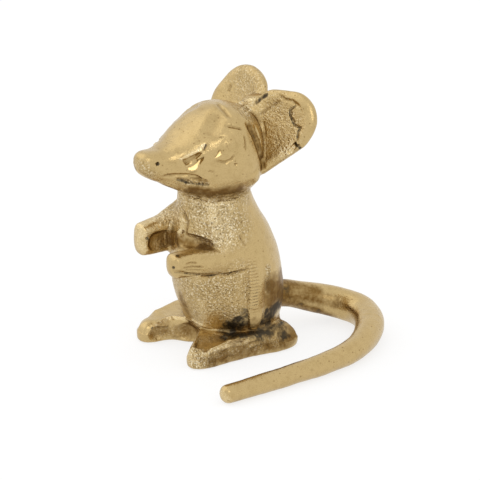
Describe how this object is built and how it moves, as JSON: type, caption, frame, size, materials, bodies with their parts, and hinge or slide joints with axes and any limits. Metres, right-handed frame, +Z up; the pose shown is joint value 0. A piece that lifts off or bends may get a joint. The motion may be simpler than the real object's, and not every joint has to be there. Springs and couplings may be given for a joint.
{
  "type": "mouse figurine",
  "caption": "Small cast brass figurine of a mouse sitting up, with round ears, forepaws held out, flat feet and a long tail laid round its left side.",
  "frame": {"origin": "on the floor, in the middle of the base block's flat underside, below the middle of the torso", "axes": "+Z up; the mouse faces -Y; its left side, where the tail lies, is +X"},
  "size_m": [0.0658, 0.0762, 0.0817],
  "materials": {
    "brass": "sand cast, tumbled and partly polished, with dark patina in the recesses"
  },
  "bodies": {
    "root": {"torso": "brass", "head": "brass", "ear_left": "brass", "ear_right": "brass", "arm_left": "brass", "arm_right": "brass", "foot_left": "brass", "foot_right": "brass", "tail": "brass"}
  },
  "joints": []
}
